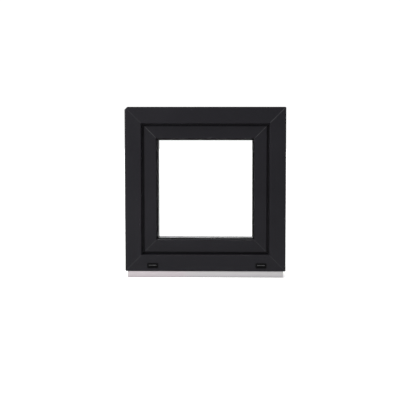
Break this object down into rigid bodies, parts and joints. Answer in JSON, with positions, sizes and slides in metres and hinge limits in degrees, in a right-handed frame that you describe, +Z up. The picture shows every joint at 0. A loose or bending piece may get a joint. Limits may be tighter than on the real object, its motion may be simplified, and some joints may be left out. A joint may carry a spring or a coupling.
{
  "type": "turn and tilt window",
  "caption": "Small square turn-and-tilt window with a dark mitred frame and sash, double glazing, a pale sill profile below and an inside lever handle.",
  "frame": {"origin": "middle of the sill profile's underside, in the middle of the frame's 70 mm depth", "axes": "+Z up, +Y towards the room (the outside face looks towards -Y), +X to the right as seen from outside"},
  "size_m": [0.6, 0.1272, 0.6383],
  "materials": {
    "dark_pvc": "anthracite PVC, faintly grained satin",
    "sill_pvc": "pale grey extruded PVC, satin",
    "seal_rubber": "black gasket rubber",
    "galvanised_steel": "galvanised sheet",
    "hardware_zinc": "zinc-plated hardware",
    "glass": "clear float glass",
    "spacer": "satin spacer bar",
    "sealant": "black edge sealant",
    "black_plastic": "moulded black plastic",
    "handle_aluminium": "satin anodised"
  },
  "bodies": {
    "frame": {"frame_head": "dark_pvc", "frame_foot": "dark_pvc", "frame_hinge_jamb": "dark_pvc", "frame_lock_jamb": "dark_pvc", "frame_head_steel": "galvanised_steel", "frame_foot_steel": "galvanised_steel", "frame_hinge_jamb_steel": "galvanised_steel", "frame_lock_jamb_steel": "galvanised_steel", "frame_seal": "seal_rubber", "sill_profile": "sill_pvc", "drain_cap_left": "black_plastic", "drain_cap_right": "black_plastic", "striker_upper": "hardware_zinc", "striker_lower": "hardware_zinc", "striker_top": "hardware_zinc", "striker_tilt": "hardware_zinc", "corner_bearing": "hardware_zinc", "corner_bearing_cover": "black_plastic", "stay_bearing": "hardware_zinc", "stay_bearing_pin": "hardware_zinc", "stay_bearing_cover": "black_plastic"},
    "corner_pivot": {"corner_pivot": "hardware_zinc"},
    "sash": {"sash_top_rail": "dark_pvc", "sash_bottom_rail": "dark_pvc", "sash_hinge_stile": "dark_pvc", "sash_lock_stile": "dark_pvc", "sash_top_rail_steel": "galvanised_steel", "sash_bottom_rail_steel": "galvanised_steel", "sash_hinge_stile_steel": "galvanised_steel", "sash_lock_stile_steel": "galvanised_steel", "outer_pane": "glass", "inner_pane": "glass", "spacer_bar": "spacer", "edge_sealant": "sealant", "bead_hinge_side": "dark_pvc", "bead_lock_side": "dark_pvc", "bead_top": "dark_pvc", "bead_bottom": "dark_pvc", "outer_glazing_gasket": "seal_rubber", "inner_glazing_gasket": "seal_rubber", "sash_seal": "seal_rubber", "setting_block_left": "black_plastic", "setting_block_right": "black_plastic", "gearbox_case": "hardware_zinc", "lock_faceplate": "hardware_zinc", "top_faceplate": "hardware_zinc", "bottom_faceplate": "hardware_zinc", "corner_hinge": "hardware_zinc", "corner_hinge_pin": "hardware_zinc", "handle_rosette": "black_plastic", "rosette_cover": "handle_aluminium", "handle_screw_upper": "hardware_zinc", "handle_screw_lower": "hardware_zinc"},
    "stay_arm": {"stay_arm": "hardware_zinc"},
    "handle": {"handle_lever": "handle_aluminium", "handle_spindle": "hardware_zinc", "drive_pinion": "hardware_zinc"},
    "lock_rod": {"lock_rod": "hardware_zinc"},
    "top_rod": {"top_rod": "hardware_zinc"},
    "bottom_rod": {"bottom_rod": "hardware_zinc"}
  },
  "joints": [
    {"name": "sash_turn", "type": "hinge", "parent": "frame", "child": "corner_pivot", "pos_m": [-0.273, 0.045, 0.0513], "axis": [0, 0, 1], "range_deg": [0, 90]},
    {"name": "sash_tilt", "type": "hinge", "parent": "corner_pivot", "child": "sash", "pos_m": [-0.273, 0.045, 0.0513], "axis": [-1, 0, 0], "range_deg": [0, 9]},
    {"name": "stay_arm_swing", "type": "hinge", "parent": "corner_pivot", "child": "stay_arm", "pos_m": [-0.273, 0.045, 0.59], "axis": [0, 0, 1], "range_deg": [0, 19.2]},
    {"name": "handle_turn", "type": "hinge", "parent": "sash", "child": "handle", "pos_m": [0.228, 0.049, 0.3313], "axis": [0, 1, 0], "range_deg": [0, 180]},
    {"name": "lock_rod_slide", "type": "slide", "parent": "sash", "child": "lock_rod", "axis": [0, 0, -1], "range_m": [0, 0.0354]},
    {"name": "top_rod_slide", "type": "slide", "parent": "sash", "child": "top_rod", "axis": [1, 0, 0], "range_m": [0, 0.0354]},
    {"name": "bottom_rod_slide", "type": "slide", "parent": "sash", "child": "bottom_rod", "axis": [-1, 0, 0], "range_m": [0, 0.0354]}
  ],
  "couplings": [
    {"joint": "stay_arm_swing", "follows": "sash_tilt", "ratio": 2.125},
    {"joint": "lock_rod_slide", "follows": "handle_turn", "m_per_rad": 0.01125},
    {"joint": "top_rod_slide", "follows": "handle_turn", "m_per_rad": 0.01125},
    {"joint": "bottom_rod_slide", "follows": "handle_turn", "m_per_rad": 0.01125}
  ]
}
